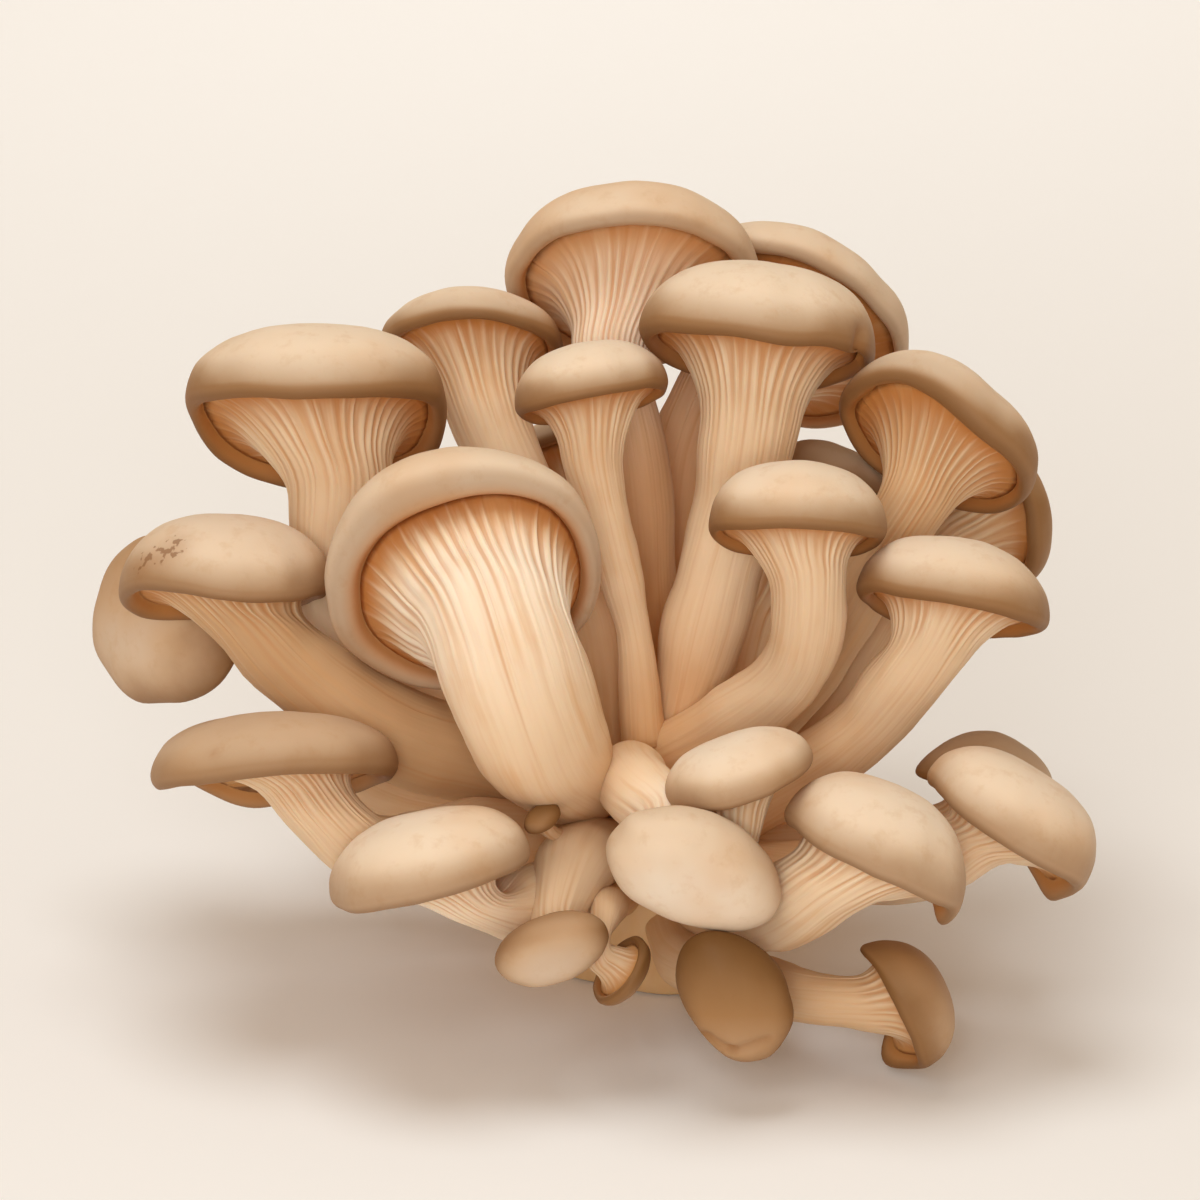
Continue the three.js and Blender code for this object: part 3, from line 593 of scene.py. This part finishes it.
def make_stem(m):
    rings = len(m.stem_rings) + len(m.gill_rings)
    neck = len(m.stem_rings) - 1
    corners = 6 * m.gills
    skin = [[m.on_ring(ring, 2 * math.pi * k / corners) for k in range(corners)] for ring in range(rings)]
    middles = [sum(points, Vector()) / corners for points in skin]
    places = row_places(m, skin)
    line = [through(middles, place) for place in places]
    length = [0.0]
    for a, b in zip(line, line[1:]):
        length.append(length[-1] + (b - a).length)
    bm = spun([(0, 0)] + [(1, row) for row in range(len(places))] + [(0, len(places))], corners)
    tail = root_tail(m)
    held = []  # for each vertex, how far it is raised, and its grain, crest and height
    for vert in bm.verts:
        row = round(vert.co.z)
        if math.hypot(vert.co.x, vert.co.y) < 0.5:  # the pole at the root or under the cap
            vert.co = middles[0] + tail * 1.2 if row == 0 else m.on_cap(0, 0, SEAT + 0.03)
            held.append((0.0, Vector(), 0.0, 0.0 if row == 0 else 2.0))
            continue
        # which corner of which ring this is, and where it slides to
        place = places[row]
        corner = round(angle_of(vert.co) / (2 * math.pi) * corners) % corners
        angle = 2 * math.pi * corner / corners
        around = Vector((math.sin(angle), math.cos(angle), 0))
        wheel = around * m.gills / 6
        slid = corner + WANDER * noise.noise(wheel * 0.9 + Z * (place * 0.22 + m.seed))
        first, k, part = max(0, int(place) - 1), math.floor(slid), slid - math.floor(slid)
        near = [skin[ring][k % corners].lerp(skin[ring][(k + 1) % corners], part)
                for ring in range(first, min(int(place) + 3, rings))]
        vert.co = through(near, place - first) + tail * smooth(0.5, 0, place)
        # what stands out here: h is 0 at the neck and 1 at the margin
        h = (place - neck) / (rings - 1 - neck)
        strong, fold = fold_at(m, corner, h)
        fibre = fibre_at(m, wheel, place)
        lump = LUMP_RELIEF * lump_at(m, vert.co) * (1 - 0.8 * smooth(-0.3, 0.4, h))
        held.append((GILL_RELIEF * m.radius * strong * fold + FIBRE_RELIEF * fibre + lump,
                     around * 3 + Z * length[row] / 40,
                     strong * fold + 0.25 * fibre,
                     place / neck if place < neck else 1 + h * m.hollow))
    deep = [deep_at(vert.co) for vert in bm.verts]
    raised, grain, crest, height = map(list, zip(*held))
    for vert in bm.verts:
        vert.co = upright(vert.co)
    bm.normal_update()
    for vert, up in zip(bm.verts, raised):
        vert.co += vert.normal * up / 1000
    marks = {"grain": grain, "crest": crest, "height": height, "deep": deep}
    marks.update({mark: [getattr(m, mark)] * len(raised) for mark in ("brown", "pale", "warm")})
    return piece_of(bm, m.name + "_stem_skin", marks)


stems = {m.name: make_stem(m) for m in mushrooms}
print("stems:", len(stems), "faces:", sum(len(stem.data.polygons) for stem in stems.values()))

# %% [markdown]
# ## The foot
# The foot is the lump that all the stems share. Its skin is spun as well, then swollen by noise, and
# its cut face stays flat, because the cluster stands on it.


# %% Model the foot
FOOT_RADIUS, FOOT_HEIGHT, FOOT_LEAN = 21, 40, 10  # mm; it leans to the front


def make_foot():
    shape = [(0, 0), (0.5, 0), (0.93, 0), (1.0, 0.02), (1.04, 0.1), (1.08, 0.34), (1, 0.6), (0.8, 0.86),
             (0.45, 0.97), (0, 1)]
    line = [Vector((out, up, 0)) for out, up in shape]
    rows = line[:4] + [through(line[3:], i + n / 6) for i in range(6) for n in range(6)][1:]
    bm = spun([(p.x * FOOT_RADIUS, p.y * FOOT_HEIGHT) for p in rows] + [(0, FOOT_HEIGHT)], 96)
    for vert in bm.verts:
        out, angle, up = math.hypot(vert.co.x, vert.co.y), angle_of(vert.co), vert.co.z / FOOT_HEIGHT
        out *= 1 + 0.07 * math.sin(3 * angle + 0.6) + 0.04 * math.sin(5 * angle + 2 * up)
        vert.co = Vector((out * math.sin(angle), -out * math.cos(angle) - up * FOOT_LEAN, vert.co.z))
    bm.normal_update()
    grain = []
    for vert in bm.verts:
        up = vert.co.z / FOOT_HEIGHT
        swell = noise.noise(vert.co / 11) + 0.5 * noise.noise(vert.co / 5)
        grain.append(Vector((vert.co.x, vert.co.y, vert.co.z / 6)) / 6)
        vert.co = (vert.co + vert.normal * swell * 1.2 * smooth(0, 0.15, up)) / 1000
    zero = [0.0] * len(bm.verts)
    plain = ("crest", "height", "deep", "brown", "pale", "warm")
    return piece_of(bm, "foot_skin", {"grain": grain, **{mark: zero for mark in plain}})


foot = make_foot()
print("foot, mm:", [round(1000 * side) for side in foot.dimensions])

# %% [markdown]
# ## Writing materials as sums
# A material that varies over a surface is a sum of patterns. Written node by node it is long and hard
# to read, so a small class stands for one number in the material: its operators add the Math nodes.


# %% Shader maths
def linear(code):
    """A colour such as "e8cba3" as Blender's linear numbers."""
    parts = [int(code[i : i + 2], 16) / 255 for i in (0, 2, 4)]
    return (*[p / 12.92 if p <= 0.04045 else ((p + 0.055) / 1.055) ** 2.4 for p in parts], 1)


class Amount:
    """One number of a material, which may change over the surface."""

    def __init__(self, finish, socket):
        self.finish, self.socket = finish, socket

    def maths(self, operation, *values):
        return self.finish.node("ShaderNodeMath", {"operation": operation}, dict(enumerate(values)))

    def __add__(self, other):
        return self.maths("ADD", self, other)

    def __sub__(self, other):
        return self.maths("SUBTRACT", self, other)

    def __rsub__(self, other):
        return self.maths("SUBTRACT", other, self)

    def __mul__(self, other):
        return self.maths("MULTIPLY", self, other)

    __radd__, __rmul__ = __add__, __mul__

    def between(self, low, high):
        """0 at low and 1 at high, eased."""
        settings = {"interpolation_type": "SMOOTHSTEP"}
        return self.finish.node("ShaderNodeMapRange", settings, {0: self, 1: low, 2: high})


class Finish:
    """A material in the making."""

    def __init__(self, name):
        self.material = bpy.data.materials.new(name)
        self.material.use_nodes = True
        self.tree = self.material.node_tree
        self.tree.nodes.clear()

    def node(self, kind, settings=None, values=None, output=0):
        """A new node of a kind, with its settings, and the values or links of its sockets."""
        made = self.tree.nodes.new(kind)
        for key, value in (settings or {}).items():
            setattr(made, key, value)
        for key, value in (values or {}).items():
            if isinstance(value, Amount):
                self.tree.links.new(value.socket, made.inputs[key])
            else:
                made.inputs[key].default_value = value
        return Amount(self, made.outputs[output]) if made.outputs else None

    def mark(self, name, vector=False):
        """A number, or a vector, that the piece holds at its vertices."""
        return self.node("ShaderNodeAttribute", {"attribute_name": name}, output=1 if vector else 2)

    def noise(self, where, scale, detail=3, roughness=0.5):
        """Noise round 0.5, with that many cells to a unit of where."""
        values = {"Vector": where, "Scale": scale, "Detail": detail, "Roughness": roughness}
        return self.node("ShaderNodeTexNoise", None, values)

    def blend(self, share, a, b):
        """Colour a at share 0 and colour b at share 1."""
        a, b = [linear(c) if isinstance(c, str) else c for c in (a, b)]
        return self.node("ShaderNodeMix", {"data_type": "RGBA"}, {0: share, 6: a, 7: b}, 2)

    def finish(self, colour, roughness, height, bump, **constants):
        """The shader, with bumps of a (strength, distance in metres) that follow the height."""
        strength, distance = bump
        bumps = {"Strength": strength, "Distance": distance, "Height": height}
        normal = self.node("ShaderNodeBump", None, bumps)
        values = {"Base Color": colour, "Roughness": roughness, "Normal": normal, **constants}
        skin = self.node("ShaderNodeBsdfPrincipled", None, values)
        self.node("ShaderNodeOutputMaterial", None, {"Surface": skin})
        return self.material


print("cream:", [round(part, 3) for part in linear("e8cba3")])

# %% [markdown]
# ## The caps' finish
# A cap's skin is smooth and softly matt. It is palest on the crown, with faint cloudy patches, and turns
# tan and then grey-brown where it bends down to the rolled margin: partly the margin's own colour, and
# partly painted shade where the skin faces down and at the cap's edge. Under the lip, where it meets the
# gills, an orange tan is painted shade in the recess. Painting that on an image would need an unwrapped
# cap, so the colours follow the numbers that each vertex holds instead: `margin` is 0 at the crown, 1 at
# the rim and 2 at the gills, `low` is how far down the skin faces, which sets the painted shade, `rim`
# is how close the rim is, and `brown`, `stain` and `dent` are the mushroom's brown, partly painted
# shade, its stains, and its creases, darkened as painted shade.


# %% The caps' finish
CREAM, SAND, CLOUD, MOTTLE = "e7d7c5", "e2c9ad", "d8ae84", "cba47c"
TURNED_SHADE, RIM_GREY_AND_SHADE, UNDER_LIP_SHADE, LIP_RECESS_SHADE = "8d5d2e", "8c6841", "7a5430", "bf8347"
TAWNY, UMBER, STAIN, SCAB = "c59564", "6b4720", "9c6a3c", "7f5430"


def cap_finish():
    skin = Finish("cap_skin")
    where = skin.node("ShaderNodeTexCoord", output=3)
    margin, rim, low, brown = [skin.mark(name) for name in ("margin", "rim", "low", "brown")]
    stain, dent = skin.mark("stain"), skin.mark("dent")
    cloud = skin.noise(where, 60, 4, 0.6)
    blotch = skin.noise(where, 38, 3, 0.5)
    mottle = skin.noise(where, 260, 4, 0.65)
    speck = skin.noise(where, 900, 3, 0.6)
    scab = skin.noise(where, 720, 2, 0.5)
    place = margin + (cloud - 0.5) * 0.4
    # edge marks where the lip turns under, for a painted dark line of shade there
    edge = margin.between(1.15, 1.4) * (1 - margin.between(1.5, 1.8))
    # the cream crown turns sand towards the margin, more where it faces down as painted shade, with its
    # clouds and mottling
    colour = skin.blend(place.between(0.2, 0.85) * (low * 0.7 + 0.5), CREAM, SAND)
    colour = skin.blend(blotch.between(0.45, 0.7) * 0.45, colour, CLOUD)
    colour = skin.blend(mottle.between(0.5, 0.72) * 0.26, colour, MOTTLE)
    # browner where `brown` is set: partly the cap's own tone and partly painted shade
    colour = skin.blend(brown * 1.5, colour, TAWNY)
    # darker down to the rim: mostly painted shade where the skin faces down, with some of the margin's
    # own grey-brown, and the rim's own grey with painted shade at its edge
    colour = skin.blend(place.between(0.5, 1.1) * (low * 0.82 + 0.03), colour, TURNED_SHADE)
    colour = skin.blend(rim * 0.42, colour, RIM_GREY_AND_SHADE)
    # a painted dark line of shade where the lip turns under to the gills
    colour = skin.blend(edge * (low * 0.4 + 0.22), colour, UNDER_LIP_SHADE)
    # the painted orange shade of the recess under the lip
    colour = skin.blend(margin.between(1.45, 1.9) * 0.85, colour, LIP_RECESS_SHADE)
    # the brown of the low caps, partly their own and partly painted shade on the caps that lie behind and
    # under others; creases darkened as painted shade, stains and the scabs in them
    colour = skin.blend(brown * 0.75, colour, UMBER)
    # the stains are the cap's own; the creases take the same colour as painted shade in them
    colour = skin.blend(stain * 0.35 + dent * 0.45, colour, STAIN)
    colour = skin.blend((stain * 0.35 + scab).between(0.85, 0.94) * 0.65, colour, SCAB)
    height = mottle * 0.5 + speck * 0.25 + cloud * 0.4
    return skin.finish(colour, 0.55 + speck * 0.12, height, (0.22, 0.0005), **{
        "Subsurface Weight": 0.12, "Subsurface Radius": (1.0, 0.5, 0.25), "Subsurface Scale": 0.004,
        "Specular IOR Level": 0.25})


cap_skin = cap_finish()
print(cap_skin.name, "nodes:", len(cap_skin.node_tree.nodes))

# %% [markdown]
# ## The finish of gills and stems
# The flesh is cream where the gills run into the stem and a warm tan towards the root. The orange tan in
# the hollow just under the lip is painted shade, and so is the orange of the deep places, where light
# bounces from flesh to flesh. The crests of the gills are a little paler than the flesh between them,
# and the grooves darker, as painted light and shade across the folds, and fine fibres run along every
# stem. A pattern can only follow a bent stem if it is given in the stem's own directions, so it reads
# `grain`: a circle round the stem, and the way along it. `height` is 0 at the root, 1 at the neck and 2
# at the margin, `crest` tells the crests from the hollows, `deep` sets the painted orange of bounced
# light, and `warm`, `pale` and `brown` shift the colour, partly the mushroom's own tone and partly
# painted shade and light.


# %% The finish of gills and stems
OCHRE, BOUNCED_ORANGE, IVORY, CREST_HIGHLIGHT, BISCUIT = "c2986c", "cd8438", "f6e9da", "f8e6cc", "b98d60"
HOLLOW_SHADE = "c28046"


def flesh_finish(name, neck, root):
    flesh = Finish(name)
    where = flesh.node("ShaderNodeTexCoord", output=3)
    grain = flesh.mark("grain", True)
    crest, height = flesh.mark("crest"), flesh.mark("height")
    brown, pale, warm, deep = [flesh.mark(name) for name in ("brown", "pale", "warm", "deep")]
    streak = flesh.noise(grain, 1.7, 4, 0.6)
    fibre = flesh.noise(grain, 6, 3, 0.6)
    cloud = flesh.noise(where, 60, 3, 0.5)
    place = height + (streak - 0.5) * 0.5
    # from the root to the neck, then the painted orange of light bounced deep between the stems
    colour = flesh.blend(place.between(-0.15, 0.6), root, neck)
    # a warmer tan where `warm` is set: partly the stem's own tone and partly painted shade under its cap
    colour = flesh.blend(warm * 0.75, colour, OCHRE)
    colour = flesh.blend(deep * 0.9, colour, BOUNCED_ORANGE)
    # painted orange shade in the hollow under the cap, a paler neck, and light and shade painted across
    # the gills
    colour = flesh.blend(place.between(1.3, 1.9), colour, HOLLOW_SHADE)
    # a paler neck where `pale` is set: painted light where the gills are lit, over the mushroom's own
    # paler tone
    lit_and_pale_neck = pale * height.between(0.6, 1.1) * (1 - height.between(1.2, 1.7))
    colour = flesh.blend(lit_and_pale_neck, colour, IVORY)
    # the crests paler and the grooves darker: painted highlight and shade across the folds
    colour = flesh.blend(crest.between(0.1, 0.7) * 0.35, colour, CREST_HIGHLIGHT)
    colour = flesh.blend(crest.between(0.0, -0.4) * 0.5, colour, HOLLOW_SHADE)
    # streaks, and the brown of the low mushrooms and of those behind, partly their own and partly painted
    # shade
    colour = flesh.blend((streak * 0.7 + cloud * 0.5).between(0.55, 0.8) * 0.5, colour, root)
    colour = flesh.blend(brown * 0.4, colour, BISCUIT)
    bumps = streak * 0.5 + fibre * 0.35
    return flesh.finish(colour, 0.62 + fibre * 0.1, bumps, (0.3, 0.0004), **{
        "Subsurface Weight": 0.2, "Subsurface Radius": (1.0, 0.45, 0.2), "Subsurface Scale": 0.005,
        "Specular IOR Level": 0.2})


gill_flesh = flesh_finish("gill_flesh", neck="e7cbab", root="d6a573")
foot_flesh = flesh_finish("foot_flesh", neck="eed6b4", root="e0b685")
print(gill_flesh.name, "nodes:", len(gill_flesh.node_tree.nodes))

# %% [markdown]
# ## Dressing the cluster
# Every piece gets its finish and stands for the solid it covers. The smallest bud is one solid, so its
# cap and stem are joined first.

# %% Dress the cluster
foot.data.materials.append(foot_flesh)
stands_for(foot, "foot")
for m in mushrooms:
    cap, stem = caps[m.name], stems[m.name]
    cap.data.materials.append(cap_skin)
    stem.data.materials.append(gill_flesh)
    if m.whole:
        with bpy.context.temp_override(active_object=cap, selected_editable_objects=[cap, stem]):
            bpy.ops.object.join()
        stands_for(cap, m.name)
    else:
        stands_for(cap, m.name + "_cap")
        stands_for(stem, m.name + "_stem")

# %% [markdown]
# ## Floor and air
# A plain pale floor suits pale food. It is a large plane with a paper finish, so that no edge of it
# shows. The air round the cluster is a faint warm cream, which fills the shadows. A grey studio wall
# could stand behind the cluster instead, but would throw its own colour onto the back.

# %% The floor and the air round the cluster
bpy.ops.mesh.primitive_plane_add(size=6)
floor = bpy.context.object
floor.name = "floor"
paper = Finish("paper")
grains = paper.noise(paper.node("ShaderNodeTexCoord", output=3), 40)
floor.data.materials.append(
    paper.finish(paper.blend(grains * 0.1, "f3f5fa", "edeff5"), 0.9, grains, (0.02, 0.0002)))

world = bpy.data.worlds.new("studio")
world.use_nodes = True
air = world.node_tree.nodes["Background"].inputs
air["Color"].default_value, air["Strength"].default_value = linear("fde0bd"), 0.5
bpy.context.scene.world = world
print("floor, m:", list(floor.dimensions))

# %% [markdown]
# ## Soft lights
# The lamps are nearly white. The key light stands over the camera to the left, and the front light close
# to the camera, so that the gills are lit as well as the caps, and every form turns darker towards its
# edge. A light from above brightens the crowns, and a narrow one keeps the floor behind the cluster
# bright. A single small lamp would be simpler, but would cut hard shadows into the gills.

# %% Soft lights
MIDDLE = (0, 0, 0.07)  # the middle of the cluster, in metres


def soft_light(name, place, size, watts, aim=MIDDLE, spread=180):
    """A round lamp of a size in metres, aimed at a place. spread is the width of its beam, in degrees."""
    data = bpy.data.lights.new(name, "AREA")
    data.shape, data.size, data.energy, data.color = "DISK", size, watts, linear("f4f6f2")[:3]
    data.spread = math.radians(spread)
    lamp = bpy.data.objects.new(name, data)
    bpy.context.collection.objects.link(lamp)
    lamp.location = place
    lamp.rotation_euler = (Vector(aim) - Vector(place)).to_track_quat("-Z", "Y").to_euler()


soft_light("key", (-0.35, -1.2, 0.9), 0.8, 3.8)
soft_light("front", (-0.05, -1.45, 0.5), 0.5, 6.6)
soft_light("top", (-0.15, 0.0, 1.1), 0.7, 5.2)
soft_light("backdrop", (0, 0.85, 1.0), 0.8, 1.0, aim=(0, 0.851, 0), spread=70)
print("lights:", len(bpy.data.lights))

# %% [markdown]
# ## The camera
# The camera looks down on the cluster a little and stands well back with a long lens, so that shapes
# keep their proportions. A short lens from nearby would swell the mushrooms in front.

# %% Set up the camera
TARGET = Vector((-0.009, -0.0136, 0.0738))
AWAY, LOOK_DOWN = 1.5, math.radians(20)

camera_data = bpy.data.cameras.new("camera")
camera_data.lens, camera_data.sensor_width, camera_data.clip_end = 250, 36, 20
camera = bpy.data.objects.new("camera", camera_data)
bpy.context.collection.objects.link(camera)
camera.location = TARGET + AWAY * Vector((0, -math.cos(LOOK_DOWN), math.sin(LOOK_DOWN)))
camera.rotation_euler = (math.radians(90) - LOOK_DOWN, 0, 0)
bpy.context.scene.camera = camera
bpy.context.scene.view_settings.view_transform = "Standard"
print("camera at:", [round(n, 3) for n in camera.location])
